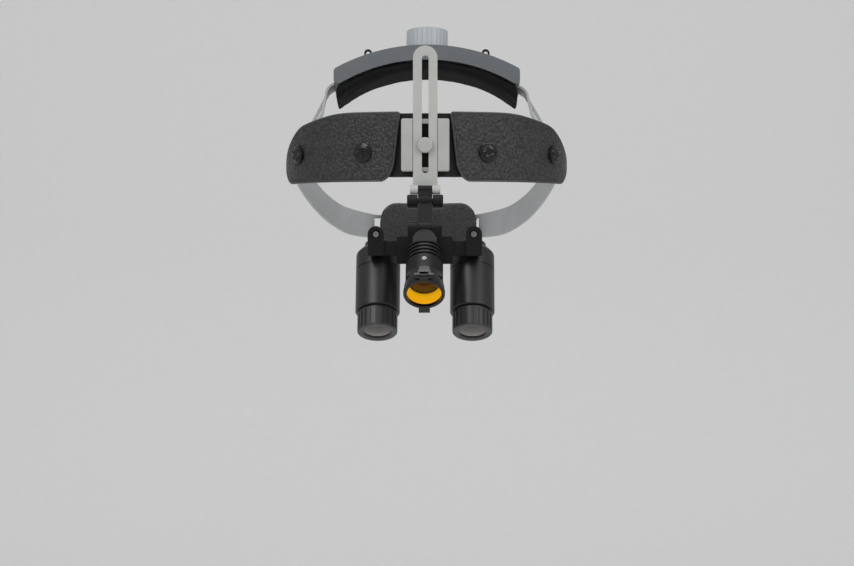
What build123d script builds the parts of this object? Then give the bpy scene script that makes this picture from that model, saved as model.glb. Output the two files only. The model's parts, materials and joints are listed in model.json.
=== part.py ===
from build123d import *
import os
from math import acos, asin, cos, degrees, pi, radians, sin, sqrt

# Headband loupes with a headlight, as worn: millimetres, +Z up, the wearer looks along -Y and the
# wearer's left is +X. The origin is the centre of the head opening, at the height of the band.

os.makedirs("parts", exist_ok=True)

# ---------------------------------------------------------------- driving dimensions

# Plan outline of the headband (outer face of the leather): tangent arcs, symmetric about X = 0.
FRONT_Y = -105
FRONT_R, FRONT_SPAN = 112, 22
BROW_R, BROW_SPAN = 89, 36
TEMPLE_R, TEMPLE_SPAN = 60, 32
SIDE_R, SIDE_SPAN = 200, 25

# Layers of the headband, as growth of that outline.
LEATHER = (0, -3.4)
BAND = (-3.7, -6.2)
CUSHION = (-6.5, -11.4)
STRAP_OUTER = (-0.3, -1.8)
STRAP_INNER = (-2.0, -3.5)
HOUSING_WALL = (0, -5.4)
HOUSING_CAVITY = (1, -3.8)
REAR_COVER = (2.6, 0.2)
NAPE = (-5.7, -12)

BAND_TOP, BAND_BOTTOM = 22.8, -17.8
LEATHER_TOP, LEATHER_BOTTOM = 23.3, -20.5
SNAP_Z, SNAP_R = -2.2, 6
STRAP_W, REAR_Z = 16, -46
RIVET = (-7, -1)
RIVET_R = 1.6

# Crown pad: arcs in a plane that leans back. Heights are measured up that plane.
CROWN_LEAN, CROWN_Y = 11, -5
CROWN_TOP, CROWN_TOP_R = 71.9, 125
SKIRT, SKIRT_R = 61.6, 112
FOAM, FOAM_R = 57, 92
CROWN_HALF, CROWN_DEPTH = 62.5, 38
RACK_OUTER, RACK_INNER, RACK_T = 65.9, 63.9, 1.5
FOOT_X = 82.6

# Dials: twelve teeth, so a dial rests at thirty-degree clicks.
TEETH, PITCH_R = 12, 4.8
TOOTH_PITCH = 2 * pi * PITCH_R / TEETH
RACK_SLOT = 11.4
SHAFT_R, DIAL_SCREW_R = 3, 1.2

# Bracket, height bar and clamp.
BRACKET_W, BRACKET_TOP, BRACKET_BOTTOM, BRACKET_FACE = 30.8, 19, -14.6, -109
CHANNEL_W, CHANNEL_Y, WINDOW_HALF = 16.2, -106.2, 3.4
BAR_W, BAR_BACK, BAR_FRONT, BAR_TOP, BAR_END = 15.6, -106.4, -108.8, 65.6, -29.4
SLOT_W, SLOT_TOP, SLOT_END = 4.3, 59.3, -15.8
STUD_R, STUD_Z, CLAMP_R = 2.0, 1.9, 5
FOOT_W, FOOT_TOP = 19.3, -23.6
SCREW_PLACES = ((8, 12), (-8, -8))
SCREW_R, SCREW_HEAD_R = 1.25, 2.6

# Hinge chain: pivots as (Y, Z), all turning about X.
PIVOT_A, PIVOT_B, PIVOT_C = (-113, -26.7), (-114, -34.2), (-124, -51.5)
LINK_HALF, LUG_HALF = 4.5, 2.2
KNUCKLE_A, KNUCKLE_B, KNUCKLE_C = 2.9, 4.4, 4.3
PIN_R, AXLE_R, RUNNING = 1.2, 2.0, 0.05
BARREL_HALF, EAR_HALF = 11.5, 10.9

# Bridge and pupil-distance arms.
BRIDGE_HALF, BRIDGE_TOP, BRIDGE_BOTTOM = 17.85, -56.6, -74
BRIDGE_BACK, BRIDGE_FRONT = -119, -131
ARM_BACK, ARM_FRONT, ARM_TOP, ARM_BOTTOM, ARM_INNER = -122.5, -128.5, -59.6, -68.6, 4
BLOCK_X, BLOCK_W, BLOCK_BOTTOM = 31, 10.3, -68.8
BLOCK_BACK, BLOCK_FRONT, SCREW_Z = -120, -131, -55.2
PIVOT_SCREW_R, PIVOT_HEAD_R, LUG_BACK = 1.5, 2, -110.5

# Loupes: each is turned about its own optical axis, starting at the eye.
LOUPE_X, LOUPE_TILT, EYE_Y, EYE_Z = 30, 63, -102, -61.9
BARREL_R, BOSS_R, SPIGOT_R = 14.1, 8.75, 10.5
CAP_S, SHOULDER_S, SEAM_S, BARREL_S, LOUPE_S = 2.4, 7.5, 18.4, 48.2, 62.2
RING_R, RING_S, RIBS, APERTURE_R = 12.65, 48.6, 22, 8.5

# Headlight and its flip filter, along the lamp's axis from its rear face.
LAMP_TILT, LAMP_Y, LAMP_Z = 45, -144, -66.5
LAMP_PIVOT = (-138.2, -58.5)
LAMP_R, LAMP_CHEEK, LAMP_BOSS_R = 11.65, 7.4, 6.5
FIN_S, FIN_STEP, FIN_GAP, FIN_ROOT = 2.1, 3.1, 1.4, 9.9
TUBE_R, TUBE_S, BEZEL_S, BEZEL_END = 9.9, 15, 24, 35
FILTER_R, AMBER_R, FILTER_S, FILTER_END = 12.95, 10.75, 35.2, 37.6
HINGE_U, HINGE_S = 14.6, 36.2
SOCKET_S, SOCKET_R, JACK_R = 8, 3.2, 1.25


# ---------------------------------------------------------------- the plan outline

def toward(angle):
    """Unit vector in plan at an angle from +X."""
    return Vector(cos(radians(angle)), sin(radians(angle)))


FRONT_C = Vector(0, FRONT_Y + FRONT_R)
BROW_START = FRONT_SPAN - 90
BROW_C = FRONT_C + toward(BROW_START) * (FRONT_R - BROW_R)
TEMPLE_START = BROW_START + BROW_SPAN
TEMPLE_C = BROW_C + toward(TEMPLE_START) * (BROW_R - TEMPLE_R)
SIDE_START = TEMPLE_START + TEMPLE_SPAN
SIDE_C = TEMPLE_C + toward(SIDE_START) * (TEMPLE_R - SIDE_R)
REAR_START = SIDE_START + SIDE_SPAN
REAR_R = SIDE_R + SIDE_C.X / cos(radians(REAR_START))
REAR_C = SIDE_C + toward(REAR_START) * (SIDE_R - REAR_R)
REAR_Y = REAR_C.Y + REAR_R


def plan_outline(grow):
    """The closed plan outline, grown outward; used inside BuildLine."""
    CenterArc(FRONT_C, FRONT_R + grow, -90 - FRONT_SPAN, 2 * FRONT_SPAN)
    CenterArc(REAR_C, REAR_R + grow, REAR_START, 180 - 2 * REAR_START)
    side_arcs = (
        (BROW_C, BROW_R, BROW_START, BROW_SPAN),
        (TEMPLE_C, TEMPLE_R, TEMPLE_START, TEMPLE_SPAN),
        (SIDE_C, SIDE_R, SIDE_START, SIDE_SPAN),
    )
    for centre, radius, start, span in side_arcs:
        CenterArc(centre, radius + grow, start, span)
        CenterArc((-centre.X, centre.Y), radius + grow, 180 - start - span, span)


def head_ring(layer, low, high, mode=Mode.ADD):
    """A closed ring of the headband between two growths; used inside BuildPart."""
    with BuildSketch(Plane.XY.offset(low)) as sketch:
        with BuildLine():
            plan_outline(layer[0])
        make_face()
        with BuildLine():
            plan_outline(layer[1])
        make_face(mode=Mode.SUBTRACT)
    extrude(sketch.sketch, amount=high - low, mode=mode)


# ---------------------------------------------------------------- shared shapes

def keep_outline(plane, points, rounds=(), depth=150, both=True):
    """Keep what lies inside an outline seen square to a plane; rounds lists (corner, radius)."""
    with BuildSketch(plane) as view:
        with BuildLine():
            Polyline(*points, close=True)
        make_face()
        for corner, radius in rounds:
            fillet(view.vertices().sort_by_distance(corner)[0], radius)
    extrude(view.sketch, amount=depth, both=both, mode=Mode.INTERSECT)


def block(x_range, y_range, z_range, mode=Mode.ADD):
    """A box between limits on each axis."""
    ranges = (x_range, y_range, z_range)
    size = [abs(high - low) for low, high in ranges]
    with Locations(tuple((low + high) / 2 for low, high in ranges)):
        Box(*size, mode=mode)


def side_plate(points, half_width, mode=Mode.ADD):
    """A plate cut to a (Y, Z) outline and centred on X = 0."""
    with BuildSketch(Plane.YZ) as sketch:
        with BuildLine():
            Polyline(*points, close=True)
        make_face()
    extrude(sketch.sketch, amount=half_width, both=True, mode=mode)


def x_cylinder(pivot, radius, half_width, mode=Mode.ADD):
    """A cylinder along X about a pivot given as (Y, Z)."""
    with BuildSketch(Plane.YZ) as sketch:
        with Locations(pivot):
            Circle(radius)
    extrude(sketch.sketch, amount=half_width, both=True, mode=mode)


def y_cylinder(place, radius, back, front, mode=Mode.ADD):
    """A cylinder along Y at (X, Z), from its back to its front."""
    with BuildSketch(Plane.XZ.offset(-back)) as sketch:
        with Locations(place):
            Circle(radius)
    extrude(sketch.sketch, amount=back - front, mode=mode)


def plane_cylinder(plane, radius, low, high, mode=Mode.ADD):
    """A cylinder along a plane's normal between two distances from the plane."""
    with BuildSketch(plane.offset(low)) as sketch:
        Circle(radius)
    extrude(sketch.sketch, amount=high - low, mode=mode)


def save(piece, name):
    """Label a finished piece and write its STEP file."""
    piece.part.label = name
    export_step(piece.part, f"parts/{name}.step")


def save_pair(piece, name):
    """Write the +X piece as the wearer's left one and its mirror image as the right one."""
    save(piece, f"{name}_left")
    with BuildPart() as other:
        mirror(piece.part, about=Plane.YZ)
    save(other, f"{name}_right")


class Tube:
    """An optical tube: its start, its aim, and the sketch planes that follow it."""

    def __init__(self, x, y, z, tilt):
        self.start = Vector(x, y, z)
        self.aim = Vector(0, -cos(radians(tilt)), -sin(radians(tilt)))
        self.up = Vector(0, -sin(radians(tilt)), cos(radians(tilt)))
        self.side = Plane(origin=self.start, x_dir=self.up, z_dir=(1, 0, 0))

    def across(self, distance):
        """The plane square to the tube at a distance along it."""
        return Plane(origin=self.start + self.aim * distance, x_dir=(1, 0, 0), z_dir=self.aim)

    def radial(self, distance, facing):
        """A plane on the axis at a distance along it, facing up (1) or down (-1)."""
        return Plane(origin=self.start + self.aim * distance, x_dir=(1, 0, 0), z_dir=self.up * facing)

    def turned(self, outline, rounds=(), mode=Mode.ADD):
        """A solid turned about the axis; outline lists (radius, distance along the axis)."""
        plane = Plane(origin=self.start, x_dir=(1, 0, 0), z_dir=Vector(1, 0, 0).cross(self.aim))
        with BuildSketch(plane) as profile:
            with BuildLine():
                Polyline(*outline, close=True)
            make_face()
            for corner, radius in rounds:
                fillet(profile.vertices().sort_by_distance(corner)[0], radius)
        revolve(profile.sketch, axis=Axis(self.start, self.aim), mode=mode)

    def lens(self, radius, rear, front, rear_bulge, front_bulge):
        """A lens between two edge distances, with domed faces."""
        plane = Plane(origin=self.start, x_dir=(1, 0, 0), z_dir=Vector(1, 0, 0).cross(self.aim))
        rear_r = (radius**2 + rear_bulge**2) / (2 * rear_bulge)
        front_r = (radius**2 + front_bulge**2) / (2 * front_bulge)
        rear_span = degrees(asin(radius / rear_r))
        front_span = degrees(asin(radius / front_r))
        with BuildSketch(plane) as sketch:
            with BuildLine():
                CenterArc((0, rear - rear_bulge + rear_r), rear_r, -90, rear_span)
                Line((radius, rear), (radius, front))
                CenterArc((0, front + front_bulge - front_r), front_r, 90 - front_span, front_span)
                Line((0, front + front_bulge), (0, rear - rear_bulge))
            make_face()
        revolve(sketch.sketch, axis=Axis(self.start, self.aim))

    def plate(self, points, half_width, mode=Mode.ADD):
        """A plate cut to an outline of (height above the axis, distance along it)."""
        with BuildSketch(self.side) as sketch:
            with BuildLine():
                Polyline(*points, close=True)
            make_face()
        extrude(sketch.sketch, amount=half_width, both=True, mode=mode)

    def crosswise(self, height, distance, radius, half_width, mode=Mode.ADD):
        """A cylinder along X, at a height above the axis and a distance along it."""
        with BuildSketch(self.side) as sketch:
            with Locations((height, distance)):
                Circle(radius)
        extrude(sketch.sketch, amount=half_width, both=True, mode=mode)


# ---------------------------------------------------------------- forehead band

def brow_view(top, bottom, falls, heel_y, heel_r):
    """Side outline (Y, Z) of band or leather; falls lists (corner, radius) down its upper edge."""
    corners = [corner for corner, _ in falls]
    heel = (heel_y, bottom)
    return [(-125, top), *corners, heel, (-125, bottom)], [*falls, (heel, heel_r)]


def snap_planes(sides=(1, -1)):
    """Planes on the leather at the inner and outer snaps, normals outwards."""
    inner, outer = toward(-69), toward(TEMPLE_START - 1)
    spots = ((FRONT_C + inner * FRONT_R, inner), (BROW_C + outer * BROW_R, outer))
    return [
        Plane(origin=(side * at.X, at.Y, SNAP_Z), z_dir=(side * out.X, out.Y, 0))
        for side in sides
        for at, out in spots
    ]


with BuildPart() as front_band:
    head_ring(BAND, BAND_BOTTOM, BAND_TOP)
    band_falls = [((-90, BAND_TOP), 40), ((-66, 13.5), 25), ((-51, 1), 14), ((8, -2), 4)]
    keep_outline(Plane.YZ, *brow_view(BAND_TOP, BAND_BOTTOM, band_falls, 8, 4))
    for place in SCREW_PLACES:
        y_cylinder(place, SCREW_R, -90, -110, mode=Mode.SUBTRACT)
        y_cylinder(place, SCREW_HEAD_R, -90, -100.2, mode=Mode.SUBTRACT)
    x_cylinder(RIVET, RIVET_R, 100, mode=Mode.SUBTRACT)
save(front_band, "front_band")

with BuildPart() as forehead_cushion:
    head_ring(CUSHION, LEATHER_BOTTOM + 1, LEATHER_TOP - 1)
    cushion_corners = [(-78, 22), (78, 22), (78, -19), (-78, -19)]
    keep_outline(Plane.XZ.offset(40), cushion_corners, [(corner, 14) for corner in cushion_corners], both=False)
save(forehead_cushion, "forehead_cushion")

with BuildPart() as leather_flap:
    head_ring(LEATHER, LEATHER_BOTTOM, LEATHER_TOP)
    leather_falls = [((-90, LEATHER_TOP), 40), ((-64, 15.5), 25), ((-30, -9), 5)]
    keep_outline(Plane.YZ, *brow_view(LEATHER_TOP, LEATHER_BOTTOM, leather_falls, -50, 16))
    keep_outline(
        Plane.XZ,
        [(16.4, 24), (100, 24), (100, -21), (25, -21), (20.5, -10.5)],
        [((16.4, 24), 1.5), ((25, -21), 9)],
        both=False,
    )
    for snap in snap_planes(sides=(1,)):
        plane_cylinder(snap, 1.8, -4, 1, mode=Mode.SUBTRACT)
save_pair(leather_flap, "leather_flap")

with BuildPart() as snap_rivets:
    for snap in snap_planes():
        plane_cylinder(snap, 1.8, -3.4, 0.3)
        plane_cylinder(snap, SNAP_R, 0.25, 1.2)
        for radius, rise, height, taper in ((SNAP_R - 0.3, 1.2, 0.8, 60), (4.3, 2, 0.4, 75)):
            with BuildSketch(snap.offset(rise)):
                Circle(radius)
            extrude(amount=height, taper=taper)
        for radius, rise, height, taper in ((1.5, 1.1, 1.4, 12), (1.2, 2.5, 0.5, 50)):
            with BuildSketch(snap.offset(rise)):
                with PolarLocations(3.3, 5):
                    Circle(radius)
            extrude(amount=height, taper=taper)
save(snap_rivets, "snap_rivets")


# ---------------------------------------------------------------- dials and racks

def rack_slot(plane, edge, side, depth):
    """Cut a strap's slot, leaving rack teeth along its upper (1) or lower (-1) edge."""
    root, tip = edge * (RACK_SLOT / 2 + 0.2), edge * (PITCH_R - 0.6)
    with BuildSketch(plane) as sketch:
        with Locations((side * 14, 0)):
            Rectangle(48, RACK_SLOT)
        for step in range(-4, 15):
            middle = side * (step + 0.5) * TOOTH_PITCH
            corners = [(middle - 0.75, root), (middle + 0.75, root), (middle + 0.28, tip), (middle - 0.28, tip)]
            with BuildLine():
                Polyline(*corners, close=True)
            make_face(mode=Mode.SUBTRACT)
    extrude(sketch.sketch, amount=depth, both=True, mode=Mode.SUBTRACT)


def dial(base, gear, shaft_end, knob_r, knob, flutes, name):
    """A knob, its pinion and its screw, at distances along the normal of a base plane."""
    screw_seat = knob[1] - 3.5
    with BuildPart() as pinion:
        with BuildSketch(base.offset(gear[0])):
            Circle(PITCH_R - 1)
            with PolarLocations(0, TEETH):
                Polygon((3.4, -0.85), (5.4, -0.28), (5.4, 0.28), (3.4, 0.85), align=None)
        extrude(amount=gear[1] - gear[0])
        plane_cylinder(base, SHAFT_R, gear[1] - 0.5, shaft_end)
        plane_cylinder(base, DIAL_SCREW_R, shaft_end - 5, shaft_end, mode=Mode.SUBTRACT)
    save(pinion, f"{name}_pinion")
    with BuildPart() as cap:
        with BuildSketch(base.offset(knob[0])):
            Circle(knob_r)
            with PolarLocations(knob_r + 0.25, flutes):
                Circle(0.9 * pi * knob_r / flutes / 2, mode=Mode.SUBTRACT)
        extrude(amount=knob[1] - knob[0])
        plane_cylinder(base, SHAFT_R, knob[0], shaft_end, mode=Mode.SUBTRACT)
        plane_cylinder(base, DIAL_SCREW_R, shaft_end, screw_seat, mode=Mode.SUBTRACT)
        plane_cylinder(base, 4.2, screw_seat, knob[1], mode=Mode.SUBTRACT)
    save(cap, f"{name}_knob")
    with BuildPart() as screw:
        plane_cylinder(base, DIAL_SCREW_R, shaft_end - 5, screw_seat)
        plane_cylinder(base, 2.8, screw_seat, screw_seat + 1.6)
        with BuildSketch(base.offset(screw_seat + 0.8)):
            Rectangle(4, 0.8)
            Rectangle(0.8, 4)
        extrude(amount=1, mode=Mode.SUBTRACT)
    save(screw, f"{name}_dial_screw")


# ---------------------------------------------------------------- rear straps and housing

REAR_BASE = Plane(origin=(0, REAR_Y, REAR_Z), x_dir=(-1, 0, 0), z_dir=(0, 1, 0))
STRAP_VIEW = [
    (-14, 6), (6, 4), (74, -32), (92, REAR_Z + STRAP_W / 2), (125, REAR_Z + STRAP_W / 2),
    (125, REAR_Z - STRAP_W / 2), (84, REAR_Z - STRAP_W / 2), (-2, -12), (-14, -12),
]
STRAP_ROUNDS = [((-14, 6), 5), ((-14, -12), 5), ((74, -32), 40), ((84, REAR_Z - STRAP_W / 2), 40)]

for name, side, edge, layer in (("left", 1, 1, STRAP_INNER), ("right", -1, -1, STRAP_OUTER)):
    with BuildPart() as rear_strap:
        head_ring(layer, -60, 10)
        keep_outline(Plane.YZ, STRAP_VIEW, STRAP_ROUNDS)
        block((side * -14, side * 110), (-40, 130), (-70, 20), mode=Mode.INTERSECT)
        rack_slot(REAR_BASE, edge, -side, 12)
        x_cylinder(RIVET, RIVET_R, 110, mode=Mode.SUBTRACT)
    save(rear_strap, f"rear_strap_{name}")

HOUSING_HALF, HOUSING_H = 31, 11

with BuildPart() as rear_housing:
    head_ring(HOUSING_WALL, REAR_Z - HOUSING_H, REAR_Z + HOUSING_H)
    head_ring(HOUSING_CAVITY, REAR_Z - 8.4, REAR_Z + 8.4, mode=Mode.SUBTRACT)
    block((-HOUSING_HALF, HOUSING_HALF), (60, 130), (-70, -20), mode=Mode.INTERSECT)
save(rear_housing, "rear_housing")

with BuildPart() as rear_cover:
    head_ring(REAR_COVER, REAR_Z - HOUSING_H, REAR_Z + HOUSING_H)
    keep_outline(
        REAR_BASE,
        [(-HOUSING_HALF, -HOUSING_H), (HOUSING_HALF, -HOUSING_H), (HOUSING_HALF, HOUSING_H), (-HOUSING_HALF, HOUSING_H)],
        [((x, z), 5) for x in (-HOUSING_HALF, HOUSING_HALF) for z in (-HOUSING_H, HOUSING_H)],
        depth=30,
    )
    plane_cylinder(REAR_BASE, SHAFT_R + RUNNING, -5, 5, mode=Mode.SUBTRACT)
save(rear_cover, "rear_cover")

with BuildPart() as nape_pad:
    head_ring(NAPE, REAR_Z - 17, REAR_Z + 17)
    nape_corners = [(-34, -17), (34, -17), (34, 17), (-34, 17)]
    keep_outline(REAR_BASE, nape_corners, [(corner, 12) for corner in nape_corners], depth=40)
save(nape_pad, "nape_pad")

dial(REAR_BASE, (-3.6, -0.2), 9, 19, (3.1, 15), 18, "rear")

# ---------------------------------------------------------------- crown pad and its straps

CROWN_UP = Vector(0, sin(radians(CROWN_LEAN)), cos(radians(CROWN_LEAN)))
CROWN_FORWARD = Vector(0, -cos(radians(CROWN_LEAN)), sin(radians(CROWN_LEAN)))
CROWN = Plane(origin=(0, CROWN_Y, 0), x_dir=(1, 0, 0), z_dir=CROWN_FORWARD)
CROWN_BASE = Plane(origin=(0, CROWN_Y, 0), x_dir=(1, 0, 0), z_dir=CROWN_UP)


def crown_arch(top, top_r, bottom, bottom_r, half, depth, corner_r=0, mode=Mode.ADD):
    """An arched slab of the crown between two arcs whose tops stand at the given heights."""
    with BuildSketch(CROWN) as arch:
        with Locations((0, top - top_r)):
            Circle(top_r)
        with Locations((0, bottom - bottom_r)):
            Circle(bottom_r, mode=Mode.SUBTRACT)
        with Locations((0, 80)):
            Rectangle(2 * half, 120, mode=Mode.INTERSECT)
        if corner_r:
            fillet(arch.vertices(), corner_r)
    extrude(arch.sketch, amount=depth / 2, both=True, mode=mode)


with BuildPart() as crown_shell:
    crown_arch(CROWN_TOP, CROWN_TOP_R, SKIRT, SKIRT_R, CROWN_HALF, CROWN_DEPTH, corner_r=3)
    crown_arch(CROWN_TOP - 2.4, CROWN_TOP_R - 2.4, SKIRT - 1, SKIRT_R - 1, 57, CROWN_DEPTH - 4, mode=Mode.SUBTRACT)
    slot_low, slot_high = RACK_INNER - RACK_T, RACK_OUTER + RACK_T
    crown_arch(slot_high, SKIRT_R + slot_high - SKIRT, slot_low, SKIRT_R + slot_low - SKIRT, 70, 17, mode=Mode.SUBTRACT)
    plane_cylinder(CROWN_BASE, SHAFT_R + RUNNING, 60, 80, mode=Mode.SUBTRACT)
save(crown_shell, "crown_shell")

with BuildPart() as crown_foam:
    crown_arch(SKIRT - 0.1, SKIRT_R - 0.1, FOAM, FOAM_R, CROWN_HALF - 1, CROWN_DEPTH - 2)
save(crown_foam, "crown_foam")

with BuildPart() as cable_clips:
    with BuildSketch(CROWN.offset(CROWN_DEPTH / 2 - 4)):
        for side in (1, -1):
            with Locations((side * 39.5, 66.4)):
                Ellipse(2.7, 3)
                Ellipse(1.4, 1.6, mode=Mode.SUBTRACT)
        with Locations((0, CROWN_TOP - CROWN_TOP_R)):
            Circle(CROWN_TOP_R, mode=Mode.SUBTRACT)
    extrude(amount=1.4)
save(cable_clips, "cable_clips")


def crown_strip(points, low, high, rack_height=None):
    """A strip of crown strap through points of the crown plane, between two depths forward."""
    with BuildSketch(CROWN.offset(low)) as sketch:
        with BuildLine():
            if rack_height:
                radius = SKIRT_R + rack_height - SKIRT
                start = degrees(acos(points[0][0] / radius))
                CenterArc((0, rack_height - radius), radius, start, 97 - start)
            FilletPolyline(*points, radius=8)
        trace(line_width=RACK_T)
    extrude(sketch.sketch, amount=high - low)


def crown_strap(rack_height, edge):
    """The +X crown strap: a rack under the shell, then a fork down to the band."""
    radius = SKIRT_R + rack_height - SKIRT
    leaves = (63, rack_height - radius + sqrt(radius**2 - 63**2))
    shoulder = (67, leaves[1] - 2.7)
    with BuildPart() as strap:
        crown_strip([leaves, shoulder, (68, shoulder[1] - 3)], -8, 8, rack_height)
        crown_strip([leaves, shoulder, (77.5, 24), (FOOT_X, 8), (FOOT_X, -4)], -9, -4)
        crown_strip([leaves, shoulder, (70.5, 27), (FOOT_X, 5), (FOOT_X, -4)], 4, 9)
        with BuildSketch(CROWN.offset(-9)):
            with Locations((FOOT_X, 0)):
                Rectangle(RACK_T, 8)
        extrude(amount=18)
        rack_slot(CROWN_BASE.offset(rack_height), edge, 1, 8)
        x_cylinder(RIVET, RIVET_R, 100, mode=Mode.SUBTRACT)
    return strap


save(crown_strap(RACK_INNER, 1), "crown_strap_left")
outer_strap = crown_strap(RACK_OUTER, -1)
with BuildPart() as crown_strap_right:
    mirror(outer_strap.part, about=Plane.YZ)
save(crown_strap_right, "crown_strap_right")

dial(CROWN_BASE, (RACK_INNER - 0.9, RACK_OUTER + 0.9), 79, 14, (CROWN_TOP + 0.5, 85.9), 24, "crown")

with BuildPart() as strap_rivets:
    for side, strap_face in ((1, 90.4), (-1, 92.1)):
        with BuildSketch(Plane(origin=(0, RIVET[0], RIVET[1]), z_dir=(side, 0, 0)).offset(FOOT_X - 2.2)):
            Circle(3.5)
        extrude(amount=1.3)
        with BuildSketch(Plane(origin=(0, RIVET[0], RIVET[1]), z_dir=(side, 0, 0)).offset(FOOT_X - 1)):
            Circle(RIVET_R)
        extrude(amount=strap_face - FOOT_X + 1.5)
        with BuildSketch(Plane(origin=(0, RIVET[0], RIVET[1]), z_dir=(side, 0, 0)).offset(strap_face)):
            Circle(3.5)
        extrude(amount=1.3)
save(strap_rivets, "strap_rivets")

# ---------------------------------------------------------------- bracket, clamp and height bar

with BuildPart() as bracket_plate:
    block((-BRACKET_W / 2, BRACKET_W / 2), (BRACKET_FACE, -99), (BRACKET_BOTTOM, BRACKET_TOP))
    fillet(bracket_plate.edges().filter_by(Axis.Y), 1.2)
    chamfer(bracket_plate.faces().sort_by(Axis.Y)[0].edges(), 0.4)
    block((-CHANNEL_W / 2, CHANNEL_W / 2), (BRACKET_FACE - 1, CHANNEL_Y), (-20, 30), mode=Mode.SUBTRACT)
    with BuildSketch(Plane.XY.offset(-30)):
        with Locations(FRONT_C):
            Circle(FRONT_R + BAND[0] + 0.05)
    extrude(amount=70, mode=Mode.SUBTRACT)
    y_cylinder((0, STUD_Z), STUD_R, -103.5, -110, mode=Mode.SUBTRACT)
    for window in ((-12, STUD_Z - 3.8), (STUD_Z + 3.8, 16)):
        block((-WINDOW_HALF, WINDOW_HALF), (BRACKET_FACE - 1, -98), window, mode=Mode.SUBTRACT)
    for place in SCREW_PLACES:
        y_cylinder(place, SCREW_R, -90, -105.2, mode=Mode.SUBTRACT)
save(bracket_plate, "bracket_plate")

with BuildPart() as bracket_screws:
    for place in SCREW_PLACES:
        y_cylinder(place, SCREW_R, -100.2, -105.2)
        y_cylinder(place, SCREW_HEAD_R, -98.9, -100.2)
save(bracket_screws, "bracket_screws")

with BuildPart() as clamp_stud:
    y_cylinder((0, STUD_Z), STUD_R, -103.5, -111.4)
save(clamp_stud, "clamp_stud")

with BuildPart() as clamp_knob:
    y_cylinder((0, STUD_Z), CLAMP_R, BAR_FRONT - 0.15, -112.2)
    fillet(clamp_knob.faces().sort_by(Axis.Y)[0].edges(), 1.1)
    y_cylinder((0, STUD_Z), STUD_R + RUNNING, -108, -111.5, mode=Mode.SUBTRACT)
save(clamp_knob, "clamp_knob")

with BuildPart() as slotted_bar:
    with BuildSketch(Plane.XZ.offset(-BAR_BACK)):
        round_z = BAR_TOP - BAR_W / 2
        with Locations((0, (round_z + BAR_END) / 2)):
            Rectangle(BAR_W, round_z - BAR_END)
        with Locations((0, round_z)):
            Circle(BAR_W / 2)
        with Locations((0, (SLOT_TOP + SLOT_END) / 2)):
            SlotOverall(SLOT_TOP - SLOT_END, SLOT_W, rotation=90, mode=Mode.SUBTRACT)
    extrude(amount=BAR_BACK - BAR_FRONT)
    block((-FOOT_W / 2, FOOT_W / 2), (BRACKET_FACE - 0.25, PIVOT_A[0]), (BAR_END, FOOT_TOP))
    block((-BAR_W / 2, BAR_W / 2), (BAR_FRONT, PIVOT_A[0]), (BAR_END, FOOT_TOP))
    x_cylinder(PIVOT_A, KNUCKLE_A, FOOT_W / 2)
    block((-LINK_HALF - 0.1, LINK_HALF + 0.1), (-120, BRACKET_FACE - 0.6), (-32, -20), mode=Mode.SUBTRACT)
    x_cylinder(PIVOT_A, PIN_R, FOOT_W, mode=Mode.SUBTRACT)
save(slotted_bar, "slotted_bar")

with BuildPart() as hinge_pin_upper:
    x_cylinder(PIVOT_A, PIN_R, FOOT_W / 2)
save(hinge_pin_upper, "hinge_pin_upper")

# ---------------------------------------------------------------- hinge chain

with BuildPart() as upper_link:
    web = [(-110.4, -27), (-115.6, -27), (-117.8, -33), (-110.4, -33)]
    side_plate(web, LINK_HALF)
    x_cylinder(PIVOT_A, KNUCKLE_A, LINK_HALF)
    x_cylinder(PIVOT_B, KNUCKLE_B + 0.4, LINK_HALF + 1, mode=Mode.SUBTRACT)
    side_plate(web, LUG_HALF)
    x_cylinder(PIVOT_B, KNUCKLE_B, LUG_HALF)
    x_cylinder(PIVOT_A, PIN_R + RUNNING, 10, mode=Mode.SUBTRACT)
    x_cylinder(PIVOT_B, AXLE_R, 10, mode=Mode.SUBTRACT)
save(upper_link, "upper_link")

with BuildPart() as middle_axle:
    x_cylinder(PIVOT_B, KNUCKLE_B, BARREL_HALF)
    chamfer(middle_axle.edges().filter_by(GeomType.CIRCLE), 0.6)
    with BuildSketch(Plane.YZ):
        with Locations(PIVOT_B):
            Circle(KNUCKLE_B + 1)
            Circle(AXLE_R, mode=Mode.SUBTRACT)
    extrude(amount=LINK_HALF + 0.3, both=True, mode=Mode.SUBTRACT)
save(middle_axle, "middle_axle")

with BuildPart() as lower_link:
    x_cylinder(PIVOT_B, KNUCKLE_B, LINK_HALF)
    side_plate([(-110.9, -37), (-117.4, -33.8), (-127.2, -49.5), (-121.2, -53)], LINK_HALF)
    x_cylinder(PIVOT_C, KNUCKLE_C, LINK_HALF)
    x_cylinder(PIVOT_B, KNUCKLE_B + 0.3, LUG_HALF + 0.1, mode=Mode.SUBTRACT)
    x_cylinder(PIVOT_B, AXLE_R + RUNNING, 10, mode=Mode.SUBTRACT)
    x_cylinder(PIVOT_C, PIN_R + RUNNING, 10, mode=Mode.SUBTRACT)
save(lower_link, "lower_link")

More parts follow.
